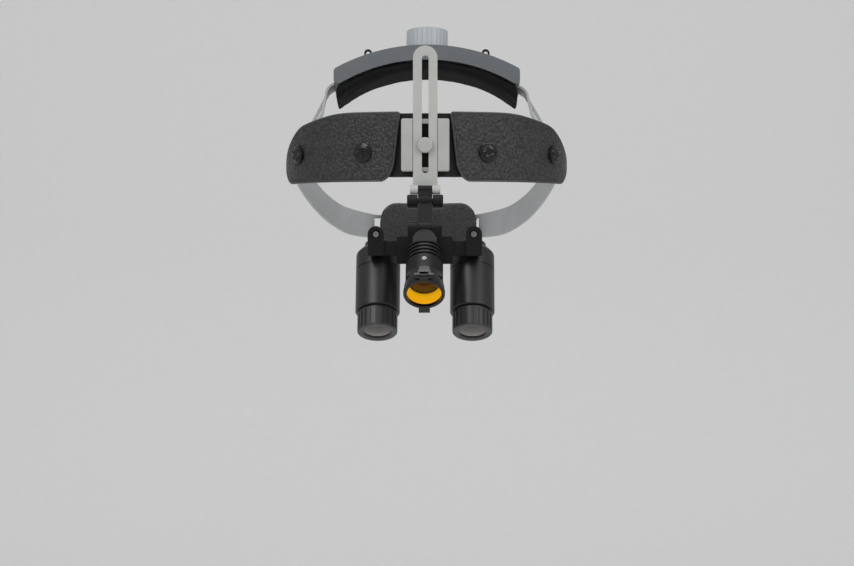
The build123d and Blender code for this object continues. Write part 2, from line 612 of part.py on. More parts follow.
with BuildPart() as bridge:
    side_plate(
        [
            (BRIDGE_BACK, BRIDGE_TOP), (BRIDGE_FRONT, BRIDGE_TOP), (BRIDGE_FRONT, BRIDGE_BOTTOM),
            (BRIDGE_FRONT + 4.5, BRIDGE_BOTTOM), (BRIDGE_BACK, BRIDGE_BOTTOM + 6),
        ],
        BRIDGE_HALF,
    )
    fillet(bridge.edges().filter_by(Axis.Y).group_by(Axis.Z)[-1], 2)
    x_cylinder(PIVOT_C, KNUCKLE_C, EAR_HALF)
    block(
        (-EAR_HALF, EAR_HALF),
        (PIVOT_C[0] - KNUCKLE_C, PIVOT_C[0] + KNUCKLE_C),
        (BRIDGE_TOP - 1, PIVOT_C[1]),
    )
    x_cylinder(PIVOT_C, KNUCKLE_C + 0.45, LINK_HALF + 0.15, mode=Mode.SUBTRACT)
    block((-LINK_HALF - 0.15, LINK_HALF + 0.15), (-135, -115), (PIVOT_C[1] - 2, -40), mode=Mode.SUBTRACT)
    x_cylinder(PIVOT_C, PIN_R, 20, mode=Mode.SUBTRACT)
    for side in (1, -1):
        block(
            (side * 1.5, side * 20),
            (ARM_FRONT - 0.1, ARM_BACK + 0.1),
            (ARM_BOTTOM - 0.1, ARM_TOP + 0.1),
            mode=Mode.SUBTRACT,
        )
    x_cylinder(LAMP_PIVOT, 4, 2.4)
    side_plate([(-130, -56.8), (-138.2, -54.5), (-138.2, -62.5), (-130, -66)], 2.4)
    x_cylinder(LAMP_PIVOT, PIN_R, 10, mode=Mode.SUBTRACT)
save(bridge, "bridge")

with BuildPart() as hinge_pin_lower:
    x_cylinder(PIVOT_C, PIN_R, EAR_HALF)
save(hinge_pin_lower, "hinge_pin_lower")

with BuildPart() as lamp_pivot_pin:
    x_cylinder(LAMP_PIVOT, PIN_R, LAMP_CHEEK)
save(lamp_pivot_pin, "lamp_pivot_pin")


# ---------------------------------------------------------------- pupil-distance arms

def arm_bar():
    """The flat bar that slides in the bridge, on the +X side."""
    block((ARM_INNER, BLOCK_X - BLOCK_W / 2), (ARM_FRONT, ARM_BACK), (ARM_BOTTOM, ARM_TOP))


def mount_block():
    """The round-topped block at the end of an arm, bored for the loupe's pivot screw."""
    block((BLOCK_X - BLOCK_W / 2, BLOCK_X + BLOCK_W / 2), (BLOCK_FRONT, BLOCK_BACK), (BLOCK_BOTTOM, SCREW_Z))
    y_cylinder((BLOCK_X, SCREW_Z), BLOCK_W / 2, BLOCK_BACK, BLOCK_FRONT)
    y_cylinder((BLOCK_X, SCREW_Z), PIVOT_SCREW_R, -110, -135, mode=Mode.SUBTRACT)
    y_cylinder((BLOCK_X, SCREW_Z), 2.7, BLOCK_FRONT + 3.4, BLOCK_FRONT - 1, mode=Mode.SUBTRACT)
    side_plate([(BLOCK_BACK + 1, -62), (BLOCK_BACK + 1, -70), (-124.5, -70)], 60, mode=Mode.SUBTRACT)


with BuildPart() as pd_arm_left:
    arm_bar()
save(pd_arm_left, "pd_arm_left")

with BuildPart() as mount_block_left:
    mount_block()
save(mount_block_left, "mount_block_left")

with BuildPart() as arm_and_block:
    mount_block()
    arm_bar()
with BuildPart() as pd_arm_right:
    mirror(arm_and_block.part, about=Plane.YZ)
save(pd_arm_right, "pd_arm_right")

with BuildPart() as pivot_screw:
    y_cylinder((BLOCK_X, SCREW_Z), PIVOT_SCREW_R, -116, BLOCK_FRONT + 3.4)
    y_cylinder((BLOCK_X, SCREW_Z), PIVOT_HEAD_R, BLOCK_FRONT + 3.4, BLOCK_FRONT + 2)
    with BuildSketch(Plane.XZ.offset(-BLOCK_FRONT)):
        with Locations((BLOCK_X, SCREW_Z)):
            RegularPolygon(1, 6)
    extrude(amount=-2.8, mode=Mode.SUBTRACT)
save_pair(pivot_screw, "pivot_screw")

# ---------------------------------------------------------------- loupes

loupe = Tube(LOUPE_X, EYE_Y, EYE_Z, LOUPE_TILT)

with BuildPart() as eyepiece_cap:
    loupe.turned([(6.2, -1), (BOSS_R - 0.8, -1), (BOSS_R, -0.2), (BOSS_R, CAP_S - 0.1), (6.2, CAP_S - 0.1)])
save_pair(eyepiece_cap, "eyepiece_cap")

with BuildPart() as eyepiece_lens:
    loupe.lens(7.1, 3.2, 5.2, 0.6, 1.2)
save_pair(eyepiece_lens, "eyepiece_lens")

with BuildPart() as loupe_barrel:
    loupe.turned(
        [
            (7.2, CAP_S), (BOSS_R + 0.6, CAP_S), (BARREL_R, SHOULDER_S),
            (BARREL_R, SEAM_S), (BARREL_R - 0.5, SEAM_S), (BARREL_R - 0.5, SEAM_S + 0.6), (BARREL_R, SEAM_S + 0.6),
            (BARREL_R, BARREL_S), (SPIGOT_R, BARREL_S), (SPIGOT_R, 57), (9.4, 57),
            (9.4, 46), (11.5, 46), (11.5, 17.2), (7.2, 14),
        ],
        [((BARREL_R, SHOULDER_S), 3.5), ((BARREL_R, BARREL_S), 0.8)],
    )
    block((BLOCK_X - 4.5, BLOCK_X + 4.5), (BLOCK_BACK + 0.2, LUG_BACK), (-63, SCREW_Z))
    y_cylinder((BLOCK_X, SCREW_Z), 4.5, LUG_BACK, BLOCK_BACK + 0.2)
    loupe.turned([(0, -2), (7.2, -2), (7.2, 14), (0, 14)], mode=Mode.SUBTRACT)
    loupe.turned([(0, 14), (7.2, 14), (11.5, 17.2), (11.5, 20), (0, 20)], mode=Mode.SUBTRACT)
    loupe.turned([(0, -3), (BOSS_R + 0.3, -3), (BOSS_R + 0.3, CAP_S), (0, CAP_S)], mode=Mode.SUBTRACT)
    y_cylinder((BLOCK_X, SCREW_Z), PIVOT_SCREW_R + RUNNING, -110, -122, mode=Mode.SUBTRACT)
save_pair(loupe_barrel, "loupe_barrel")

with BuildPart() as prism_pair:
    loupe.plate([(-8, 21), (8, 21), (-8, 37)], 7)
    loupe.plate([(8, 22.2), (8, 38), (-8, 38)], 7)
save_pair(prism_pair, "prism_pair")

with BuildPart() as focus_ring:
    loupe.turned(
        [
            (SPIGOT_R + RUNNING, RING_S), (RING_R - 0.6, RING_S), (RING_R - 0.6, 50.2), (RING_R - 0.6, LOUPE_S - 1.2),
            (RING_R, LOUPE_S - 1), (RING_R, LOUPE_S - 0.6), (RING_R - 0.6, LOUPE_S), (APERTURE_R + 0.8, LOUPE_S),
            (APERTURE_R, LOUPE_S - 0.6), (APERTURE_R, 61.2), (9.9, 61.2), (9.9, 57.2), (SPIGOT_R + RUNNING, 57.2),
        ],
    )
    with BuildSketch(loupe.across(50.4)):
        with PolarLocations(RING_R - 0.7, RIBS):
            Rectangle(1.4, 2.0)
    extrude(amount=LOUPE_S - 51.4)
save_pair(focus_ring, "focus_ring")

with BuildPart() as objective_lens:
    loupe.lens(9.8, 58.6, 60.9, 0.4, 1.2)
save_pair(objective_lens, "objective_lens")

# ---------------------------------------------------------------- headlight

lamp = Tube(0, LAMP_Y, LAMP_Z, LAMP_TILT)


def fin_outline():
    """Outer (radius, distance) points of the lamp body, with its cooling grooves."""
    points = [(0, 0), (LAMP_R - 1, 0), (LAMP_R, 0.8)]
    for fin in range(4):
        groove = FIN_S + fin * FIN_STEP
        points += [(LAMP_R, groove), (FIN_ROOT, groove), (FIN_ROOT, groove + FIN_GAP), (LAMP_R, groove + FIN_GAP)]
    return points + [(LAMP_R, BEZEL_S), (TUBE_R, BEZEL_S), (TUBE_R, TUBE_S), (0, TUBE_S)]


with BuildPart() as lamp_body:
    lamp.turned(fin_outline())
    side_plate(
        [(-138.2, -52), (-144, -54.2), (-151, -62.2), (-139.8, -73.4), (-133.3, -62.6), (-138.2, -58.5)],
        LAMP_CHEEK,
    )
    x_cylinder(LAMP_PIVOT, LAMP_BOSS_R, LAMP_CHEEK)
    arch_z = LAMP_PIVOT[1] + LAMP_BOSS_R - LAMP_CHEEK
    with BuildSketch(Plane.XZ.offset(130)):
        with Locations((0, arch_z + 5)):
            Rectangle(2 * LAMP_CHEEK + 1, 10)
        with Locations((0, arch_z)):
            Circle(LAMP_CHEEK, mode=Mode.SUBTRACT)
    extrude(amount=20, mode=Mode.SUBTRACT)
    x_cylinder(LAMP_PIVOT, 5, 2.5, mode=Mode.SUBTRACT)
    side_plate([(-138.2, -50.5), (-126.2, -50.5), (-126.2, -72.5), (-138.2, -64.7)], 2.5, mode=Mode.SUBTRACT)
    x_cylinder(LAMP_PIVOT, PIN_R + RUNNING, 10, mode=Mode.SUBTRACT)
    plane_cylinder(lamp.radial(SOCKET_S, -1), SOCKET_R, 10.8, 14, mode=Mode.SUBTRACT)
    plane_cylinder(lamp.radial(17.6, 1), 1.5, 8, 14, mode=Mode.SUBTRACT)
save(lamp_body, "lamp_body")

with BuildPart() as lamp_screw:
    plane_cylinder(lamp.radial(17.6, 1), 1.5, TUBE_R, LAMP_R + 0.3)
    with BuildSketch(lamp.radial(17.6, 1).offset(LAMP_R - 0.2)):
        Rectangle(2.4, 0.5)
    extrude(amount=1, mode=Mode.SUBTRACT)
save(lamp_screw, "lamp_screw")

with BuildPart() as cable_socket:
    plane_cylinder(lamp.radial(SOCKET_S, -1), SOCKET_R, 10.8, 15.8)
    plane_cylinder(lamp.radial(SOCKET_S, -1), JACK_R, 11.6, 15.8, mode=Mode.SUBTRACT)
save(cable_socket, "cable_socket")

with BuildPart() as led_module:
    lamp.turned([(0, TUBE_S), (9.6, TUBE_S), (9.6, 16), (3, 16), (3, 17), (2, 18.4), (0, 18.9)])
save(led_module, "led_module")

with BuildPart() as lamp_lens:
    lamp.lens(10.2, 24.3, 26.3, 0.2, 1.6)
save(lamp_lens, "lamp_lens")

with BuildPart() as lamp_bezel:
    lamp.turned(
        [
            (LAMP_R, BEZEL_S + 0.1), (LAMP_R, 27), (12.5, 32), (12.5, BEZEL_END - 0.4), (12.1, BEZEL_END),
            (10.9, BEZEL_END), (10, 27), (10, 26.5), (10.3, 26.5), (10.3, BEZEL_S + 0.1),
        ],
    )
    lamp.plate(
        [(11.9, 30.5), (13.6, 31), (16, 34.2), (16, HINGE_S), (HINGE_U, HINGE_S), (13.25, 35), (12, 35)],
        6,
    )
    lamp.crosswise(HINGE_U, HINGE_S, 1.4, 6)
    with BuildSketch(lamp.side):
        with Locations((HINGE_U, HINGE_S)):
            Circle(3.4)
            Circle(0.8, mode=Mode.SUBTRACT)
    extrude(amount=2.7, both=True, mode=Mode.SUBTRACT)
save(lamp_bezel, "lamp_bezel")

with BuildPart() as filter_frame:
    lamp.turned(
        [
            (AMBER_R, FILTER_S), (FILTER_R - 0.4, FILTER_S), (FILTER_R, FILTER_S + 0.4),
            (FILTER_R, FILTER_END - 0.5), (FILTER_R - 0.5, FILTER_END), (AMBER_R, FILTER_END),
        ],
    )
    lamp.plate([(-12, 35.4), (-16.8, 35.4), (-16.8, 37), (-12, 37.2)], 3.5)
    lamp.plate([(12, FILTER_S + 0.1), (12, 37.2), (HINGE_U, 37.4), (HINGE_U, FILTER_S + 0.1)], 2.5)
    lamp.crosswise(HINGE_U, HINGE_S, 1.5, 2.5)
    lamp.crosswise(HINGE_U, HINGE_S, 0.8 + RUNNING, 5, mode=Mode.SUBTRACT)
save(filter_frame, "filter_frame")

with BuildPart() as filter_glass:
    lamp.turned([(0, 35.9), (AMBER_R, 35.9), (AMBER_R, 36.9), (0, 36.9)])
save(filter_glass, "filter_glass")
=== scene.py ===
import json
import math

import bmesh
import bpy
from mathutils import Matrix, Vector, noise


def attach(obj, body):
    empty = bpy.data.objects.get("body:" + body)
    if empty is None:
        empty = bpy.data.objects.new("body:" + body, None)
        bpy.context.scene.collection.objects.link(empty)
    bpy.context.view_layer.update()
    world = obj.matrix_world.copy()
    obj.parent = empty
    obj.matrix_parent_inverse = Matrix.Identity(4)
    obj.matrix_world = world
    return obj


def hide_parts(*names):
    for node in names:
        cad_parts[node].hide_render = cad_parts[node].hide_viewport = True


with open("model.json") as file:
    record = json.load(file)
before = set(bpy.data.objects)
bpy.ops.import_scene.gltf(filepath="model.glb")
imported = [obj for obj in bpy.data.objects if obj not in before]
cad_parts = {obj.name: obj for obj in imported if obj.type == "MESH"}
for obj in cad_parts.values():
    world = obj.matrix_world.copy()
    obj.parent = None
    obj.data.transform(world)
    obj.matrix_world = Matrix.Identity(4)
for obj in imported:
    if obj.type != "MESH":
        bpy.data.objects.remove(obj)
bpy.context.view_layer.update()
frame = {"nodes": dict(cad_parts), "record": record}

# Headband loupes with a headlight, worn facing -Y. Lengths are in metres, or in mm where a comment says so.

nodes = frame["nodes"]
scene = bpy.context.scene

SIDES = ("left", "right")
MM = 0.001
WELD_REACH = 0.002 * MM


# ---------------------------------------------------------------- materials

def shader(name):
    """A new node material: its tree, its Principled shader and its object coordinates."""
    made = bpy.data.materials.new(name)
    made.use_nodes = True
    tree = made.node_tree
    coordinates = tree.nodes.new("ShaderNodeTexCoord").outputs["Object"]
    return made, tree, tree.nodes["Principled BSDF"], coordinates


def add_noise(tree, vector, scale, detail=4.0, stretch=None):
    """A noise texture on the object, stretched along an axis if asked."""
    if stretch:
        mapping = tree.nodes.new("ShaderNodeMapping")
        mapping.inputs["Scale"].default_value = stretch
        tree.links.new(vector, mapping.inputs["Vector"])
        vector = mapping.outputs["Vector"]
    texture = tree.nodes.new("ShaderNodeTexNoise")
    texture.inputs["Scale"].default_value = scale
    texture.inputs["Detail"].default_value = detail
    tree.links.new(vector, texture.inputs["Vector"])
    return texture.outputs["Fac"]


def add_ramp(tree, factor, low, high, start=0.3, end=0.7):
    """A colour ramp between two colours."""
    ramp = tree.nodes.new("ShaderNodeValToRGB")
    ramp.color_ramp.elements[0].position = start
    ramp.color_ramp.elements[1].position = end
    ramp.color_ramp.elements[0].color = (*low, 1)
    ramp.color_ramp.elements[1].color = (*high, 1)
    tree.links.new(factor, ramp.inputs["Fac"])
    return ramp.outputs["Color"]


def add_range(tree, factor, low, high):
    """A number that follows a texture between two limits."""
    mapped = tree.nodes.new("ShaderNodeMapRange")
    mapped.inputs["To Min"].default_value = low
    mapped.inputs["To Max"].default_value = high
    tree.links.new(factor, mapped.inputs["Value"])
    return mapped.outputs["Result"]


def add_bump(tree, principled, height, strength, distance):
    """Surface relief from a texture; a second call adds to the first."""
    bump = tree.nodes.new("ShaderNodeBump")
    bump.inputs["Strength"].default_value = strength
    bump.inputs["Distance"].default_value = distance
    tree.links.new(height, bump.inputs["Height"])
    normal = principled.inputs["Normal"]
    if normal.links:
        tree.links.new(normal.links[0].from_socket, bump.inputs["Normal"])
    tree.links.new(bump.outputs["Normal"], normal)


def shade(colour, factor):
    """A colour made darker or lighter."""
    return tuple(channel * factor for channel in colour)


GLOSS_SPREAD = 0.08
GRAIN_DEPTH = 0.05 * MM


def moulded(
    name, colour, rough, metallic=0.0, spread=0.1, grain=1600, relief=0.1, stretch=None, shine=0.5, painted_glow=0.0
):
    """Plastic, paint or metal, with mottling, uneven gloss, a fine surface grain and, where asked, a
    painted glow.
    """
    made, tree, principled, at = shader(name)
    mottle = add_noise(tree, at, 110, 5)
    tree.links.new(
        add_ramp(tree, mottle, shade(colour, 1 - spread), shade(colour, 1 + spread)),
        principled.inputs["Base Color"],
    )
    smears = add_noise(tree, at, 260, 3, stretch)
    gloss = add_range(tree, smears, rough - GLOSS_SPREAD, rough + GLOSS_SPREAD)
    tree.links.new(gloss, principled.inputs["Roughness"])
    principled.inputs["Metallic"].default_value = metallic
    principled.inputs["Specular IOR Level"].default_value = shine
    # Painted light: a glow makes the surface give off light though it is no lamp.
    principled.inputs["Emission Color"].default_value = (1, 1, 1, 1)
    principled.inputs["Emission Strength"].default_value = painted_glow
    add_bump(tree, principled, add_noise(tree, at, grain, 2, stretch), relief, GRAIN_DEPTH)
    return made


PEBBLE_WARP = (0.004, 0.004, 0.004)
PEBBLE_DEPTH = 0.7 * MM


def pebbled(name, colour, cell, rough, strength):
    """Leather with a pebble grain of a given cell size, its colour lighter on top of each pebble and darker
    between them as painted highlight and painted shade.
    """
    made, tree, principled, at = shader(name)
    warp = tree.nodes.new("ShaderNodeTexNoise")
    warp.inputs["Scale"].default_value = 160
    tree.links.new(at, warp.inputs["Vector"])
    bent = tree.nodes.new("ShaderNodeVectorMath")
    bent.operation = "MULTIPLY_ADD"
    bent.inputs[1].default_value = PEBBLE_WARP
    tree.links.new(warp.outputs["Color"], bent.inputs[0])
    tree.links.new(at, bent.inputs[2])
    cells = tree.nodes.new("ShaderNodeTexVoronoi")
    cells.feature = "SMOOTH_F1"
    cells.inputs["Scale"].default_value = 1 / cell
    cells.inputs["Smoothness"].default_value = 0.35
    tree.links.new(bent.outputs["Vector"], cells.inputs["Vector"])
    pebble = add_range(tree, cells.outputs["Distance"], 1, 0)
    # Painted highlight and painted shade: the colour is lighter on each pebble's top and darker in the
    # hollows between pebbles.
    tree.links.new(
        add_ramp(tree, pebble, shade(colour, 0.6), shade(colour, 1.35), 0.25, 0.85),
        principled.inputs["Base Color"],
    )
    tree.links.new(add_range(tree, pebble, rough + 0.15, rough - 0.05), principled.inputs["Roughness"])
    principled.inputs["Specular IOR Level"].default_value = 0.35
    add_bump(tree, principled, add_noise(tree, at, 2200, 3), 0.15, 0.06 * MM)
    add_bump(tree, principled, pebble, strength, PEBBLE_DEPTH)
    return made


def foam(name, colour):
    """Open-cell foam, darker and higher between its cells."""
    made, tree, principled, at = shader(name)
    pores = tree.nodes.new("ShaderNodeTexVoronoi")
    pores.inputs["Scale"].default_value = 1300
    tree.links.new(at, pores.inputs["Vector"])
    tree.links.new(
        add_ramp(tree, pores.outputs["Distance"], shade(colour, 1.5), shade(colour, 0.4), 0.2, 0.75),
        principled.inputs["Base Color"],
    )
    tree.links.new(add_range(tree, add_noise(tree, at, 300), 0.8, 0.95), principled.inputs["Roughness"])
    principled.inputs["Specular IOR Level"].default_value = 0.15
    add_bump(tree, principled, pores.outputs["Distance"], 0.6, 0.3 * MM)
    return made


def glass(name, colour, rough, transmission, coat=1.0, index=1.5):
    """Coated optical glass or a tinted filter, with a faint uneven tint."""
    made, tree, principled, at = shader(name)
    tree.links.new(
        add_ramp(tree, add_noise(tree, at, 70, 2), shade(colour, 0.92), shade(colour, 1.06)),
        principled.inputs["Base Color"],
    )
    smears = add_noise(tree, at, 180, 4)
    tree.links.new(add_range(tree, smears, rough, rough + 0.04), principled.inputs["Roughness"])
    principled.inputs["Transmission Weight"].default_value = transmission
    principled.inputs["Coat Weight"].default_value = coat
    principled.inputs["Coat Roughness"].default_value = 0.02
    principled.inputs["IOR"].default_value = index
    return made


def painted(name, colour):
    """Finely textured paint on metal."""
    return moulded(name, colour, 0.45, relief=0.16, spread=0.04, shine=0.4)


MATERIALS = {
    "black_plastic": moulded("black_plastic", (0.009, 0.009, 0.01), 0.55, relief=0.2, shine=0.25),
    "leather": pebbled("leather_grain", (0.027, 0.027, 0.028), 1.9 * MM, 0.42, 1.0),
    "cushion_leather": pebbled("soft_leather", (0.03, 0.03, 0.032), 1.1 * MM, 0.55, 0.4),
    "foam": foam("open_foam", (0.007, 0.007, 0.0075)),
    "strap_plastic": moulded("strap_plastic", (0.33, 0.34, 0.345), 0.42, relief=0.08, spread=0.05),
    "shell_plastic": moulded("shell_plastic", (0.082, 0.09, 0.098), 0.5, relief=0.15, spread=0.06),
    "knob_plastic": moulded("knob_plastic", (0.345, 0.372, 0.385), 0.42, relief=0.1, spread=0.04),
    "black_gloss": moulded("gloss_black", (0.004, 0.004, 0.0045), 0.17, relief=0.04, shine=0.36),
    "bracket_metal": painted("bracket_paint", (0.345, 0.345, 0.335)),
    "bar_metal": painted("bar_paint", (0.365, 0.372, 0.355)),
    "steel": moulded(
        "turned_steel", (0.25, 0.24, 0.225), 0.34, metallic=1.0, relief=0.15, stretch=(1, 12, 1)
    ),
    "black_metal": moulded("black_satin", (0.004, 0.004, 0.0045), 0.42, relief=0.12, shine=0.2),
    "black_ring": moulded("grip_satin", (0.021, 0.021, 0.0215), 0.42, relief=0.12, shine=0.45),
    "lens_glass": glass("optic_coated", (0.03, 0.02, 0.016), 0.03, 0.0, coat=0.25),
    "amber_glass": glass("amber_filter", (1.0, 0.52, 0.001), 0.02, 1.0, coat=0.0, index=1.15),
    "led": moulded("led_board", (0.75, 0.7, 0.45), 0.5, relief=0.1),
}
# The optic tubes use a lighter copy of the black metal, a painted sheen that stands in for the broad
# highlights on their curved sides.
barrel_painted_sheen = moulded("barrel_satin_painted_sheen", (0.008, 0.008, 0.0085), 0.38, relief=0.12, shine=0.42)
rim_leather = moulded("leather_edge", (0.03, 0.035, 0.039), 0.45, relief=0.3, grain=2400)
# The lamp's white reflector has a painted glow: it gives off light though it is no lamp, in place of the
# light gathered in the lamp's bore.
reflector_painted_glow = moulded("reflector_white_painted_glow", (0.9, 0.9, 0.88), 0.3, relief=0.05, spread=0.02, painted_glow=0.42)

GLASS_SLOTS = ("lens_glass", "amber_glass")
SMALL_WIRE = {"cable_clips"}
EDGE_BEVEL = 0.12 * MM
BEVEL_ANGLE = 38
OPTIC_TUBES = {f"{part}_{side}" for part in ("loupe_barrel", "eyepiece_cap") for side in SIDES}
SLOT_OF = {part["node"]: part["material_slot"] for part in frame["record"]["subparts"]}


def soften_edges(piece, width):
    """Break a CAD node's sharp edges with a small bevel."""
    weld = piece.modifiers.new("weld", "WELD")
    weld.merge_threshold = WELD_REACH
    bevel = piece.modifiers.new("edges", "BEVEL")
    bevel.width = width
    bevel.segments = 2
    bevel.limit_method = "ANGLE"
    bevel.angle_limit = math.radians(BEVEL_ANGLE)
    weighted = piece.modifiers.new("normals", "WEIGHTED_NORMAL")
    weighted.keep_sharp = False


for node, piece in nodes.items():
    slot = SLOT_OF[node]
    for place in piece.material_slots:
        place.material = barrel_painted_sheen if node in OPTIC_TUBES else MATERIALS[slot]
    if slot not in GLASS_SLOTS and node not in SMALL_WIRE:
        soften_edges(piece, EDGE_BEVEL)


# ---------------------------------------------------------------- soft goods

def add_piece(name, mesh, finish):
    """A smooth-shaded object with one material."""
    piece = bpy.data.objects.new(name, mesh)
    scene.collection.objects.link(piece)
    mesh.materials.clear()
    mesh.materials.append(finish)
    for face in mesh.polygons:
        face.use_smooth = True
    return piece


def baked(piece):
    """Replace a piece's mesh with the result of its modifiers."""
    graph = bpy.context.evaluated_depsgraph_get()
    mesh = bpy.data.meshes.new_from_object(piece.evaluated_get(graph))
    piece.modifiers.clear()
    piece.data = mesh


def welded(node):
    """The CAD node's own mesh with its split corners joined."""
    work = bmesh.new()
    work.from_mesh(nodes[node].data)
    bmesh.ops.remove_doubles(work, verts=work.verts, dist=WELD_REACH)
    work.normal_update()
    return work


def remeshed(node, name, finish, voxel, smooth):
    """A soft copy of a CAD node: an even grid with its edges rounded over."""
    mesh = bpy.data.meshes.new(name)
    work = welded(node)
    work.to_mesh(mesh)
    work.free()
    piece = add_piece(name, mesh, finish)
    remesh = piece.modifiers.new("grid", "REMESH")
    remesh.mode = "VOXEL"
    remesh.voxel_size = voxel
    relax = piece.modifiers.new("round", "SMOOTH")
    relax.factor = 0.5
    relax.iterations = smooth
    baked(piece)
    for face in piece.data.polygons:
        face.use_smooth = True
    return piece


SIM_FRAMES = 20
PAD_PRESSURE = 4.0


def puffed(piece, cap, outward):
    """Blow a pad up as cloth towards the head and sideways, as a stiff part lies on its outer side."""
    rest = [vertex.co.copy() for vertex in piece.data.vertices]
    cloth = piece.modifiers.new("cloth", "CLOTH")
    cloth.settings.use_pressure = True
    cloth.settings.uniform_pressure_force = PAD_PRESSURE
    cloth.settings.effector_weights.gravity = 0
    cloth.settings.quality = 5
    cloth.point_cache.frame_start = 1
    cloth.point_cache.frame_end = SIM_FRAMES
    for step in range(1, SIM_FRAMES + 1):
        scene.frame_set(step)
    graph = bpy.context.evaluated_depsgraph_get()
    blown = [vertex.co.copy() for vertex in piece.evaluated_get(graph).data.vertices]
    piece.modifiers.clear()
    scene.frame_set(1)
    for vertex, start, end in zip(piece.data.vertices, rest, blown):
        move = end - start
        away = outward(start)
        move -= away * max(0.0, move.dot(away))
        if move.length > cap:
            move *= cap / move.length
        vertex.co = start + move
    relax = piece.modifiers.new("settle", "SMOOTH")
    relax.factor = 0.4
    relax.iterations = 3
    baked(piece)


def subdivided(piece):
    """Smooth a soft piece with one level of subdivision."""
    surface = piece.modifiers.new("surface", "SUBSURF")
    surface.levels = surface.render_levels = 1


def ring_outward(point):
    """Away from the head, in plan."""
    return Vector((point.x, point.y, 0)).normalized()


CROWN_CENTRE = Vector((0, 0.004, -0.03))


def crown_outward(point):
    """Away from the middle of the head."""
    return (point - CROWN_CENTRE).normalized()


SHARP_EDGE = 0.7
FACES_OUT = 0.75
FACES_ASIDE = 0.6
RIM_STEP = 1.5 * MM


def outer_edge(node, outward):
    """The closed line round a panel's outer face, evenly spaced."""
    work = welded(node)
    pairs = {}
    for edge in work.edges:
        if len(edge.link_faces) != 2 or edge.calc_face_angle(0) < SHARP_EDGE:
            continue
        facing = sorted(face.normal.dot(outward(face.calc_center_median())) for face in edge.link_faces)
        if facing[1] > FACES_OUT and facing[0] < FACES_ASIDE:
            a, b = edge.verts
            pairs.setdefault(a.index, []).append(b.index)
            pairs.setdefault(b.index, []).append(a.index)
    work.verts.ensure_lookup_table()
    places = {index: work.verts[index].co.copy() for index in pairs}
    work.free()
    loops, seen = [], set()
    for first in sorted(pairs):
        if first in seen:
            continue
        line, here = [], first
        while here is not None and here not in seen:
            seen.add(here)
            line.append(places[here])
            here = next((other for other in pairs[here] if other not in seen), None)
        loops.append(line)
    longest = max(loops, key=lambda line: sum((a - b).length for a, b in zip(line, line[1:])))
    return respaced(longest, RIM_STEP)


def respaced(line, step):
    """Points at an even spacing along a closed line."""
    closed = line + [line[0]]
    lengths = [0.0]
    for a, b in zip(closed, closed[1:]):
        lengths.append(lengths[-1] + (b - a).length)
    count = max(8, round(lengths[-1] / step))
    points, segment = [], 0
    for index in range(count):
        at = lengths[-1] * index / count
        while lengths[segment + 1] < at:
            segment += 1
        span = max(lengths[segment + 1] - lengths[segment], 1e-9)
        points.append(closed[segment].lerp(closed[segment + 1], (at - lengths[segment]) / span))
    return points


def piping(name, line, radius, finish):
    """A round folded edge that follows a closed line."""
    curve = bpy.data.curves.new(name, "CURVE")
    curve.dimensions = "3D"
    curve.bevel_depth = radius
    curve.bevel_resolution = 3
    spline = curve.splines.new("POLY")
    spline.points.add(len(line) - 1)
    for point, place in zip(spline.points, line):
        point.co = (*place, 1)
    spline.use_cyclic_u = True
    holder = bpy.data.objects.new(name, curve)
    scene.collection.objects.link(holder)
    graph = bpy.context.evaluated_depsgraph_get()
    mesh = bpy.data.meshes.new_from_object(holder.evaluated_get(graph))
    bpy.data.objects.remove(holder)
    return add_piece(name, mesh, finish)


def snap_places():
    """The centre of each snap, from the loose parts of its node."""
    work = welded("snap_rivets")
    left, centres = set(work.verts), []
    while left:
        group, waiting = set(), [left.pop()]
        while waiting:
            vertex = waiting.pop()
            group.add(vertex)
            for link in vertex.link_edges:
                other = link.other_vert(vertex)
                if other in left:
                    left.discard(other)
                    waiting.append(other)
        centres.append(sum((vertex.co for vertex in group), Vector()) / len(group))
    work.free()
    return centres


DENT_RADIUS = 8 * MM
DENT_DEPTH = 0.5 * MM
WAVE_SCALE = 70
WAVE_HEIGHT = 0.25 * MM


def press_in(piece, places, outward):
    """Dent a soft piece where a snap pulls it down, and give it slow, shallow waves."""
    for vertex in piece.data.vertices:
        pull = sum(math.exp(-((vertex.co - place).length / DENT_RADIUS) ** 2) for place in places)
        wave = noise.noise(vertex.co * WAVE_SCALE) * WAVE_HEIGHT
        vertex.co += outward(vertex.co) * (wave - DENT_DEPTH * min(pull, 1.0))


RIM_RADIUS = 0.75 * MM
RIM_SINK = 0.5 * MM
RIM_INSET = 0.3 * MM


def rim_line(node):
    """The line of a flap's folded edge, a little below its outer face and inside its outline."""
    edge_line = outer_edge(node, ring_outward)
    middle = sum(edge_line, Vector()) / len(edge_line)
    return [
        place - ring_outward(place) * RIM_SINK + (middle - place).normalized() * RIM_INSET
        for place in edge_line
    ]


FLAP_VOXEL = 1.1 * MM
FLAP_ROUNDING = 3
snaps = snap_places()
for side in SIDES:
    leather = MATERIALS["leather"]
    flap = remeshed(f"leather_flap_{side}", f"leather_panel_{side}", leather, FLAP_VOXEL, FLAP_ROUNDING)
    press_in(flap, snaps, ring_outward)
    subdivided(flap)
    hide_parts(f"leather_flap_{side}")
    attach(flap, "headband")
    rim = piping(f"leather_rim_{side}", rim_line(f"leather_flap_{side}"), RIM_RADIUS, rim_leather)
    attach(rim, "headband")

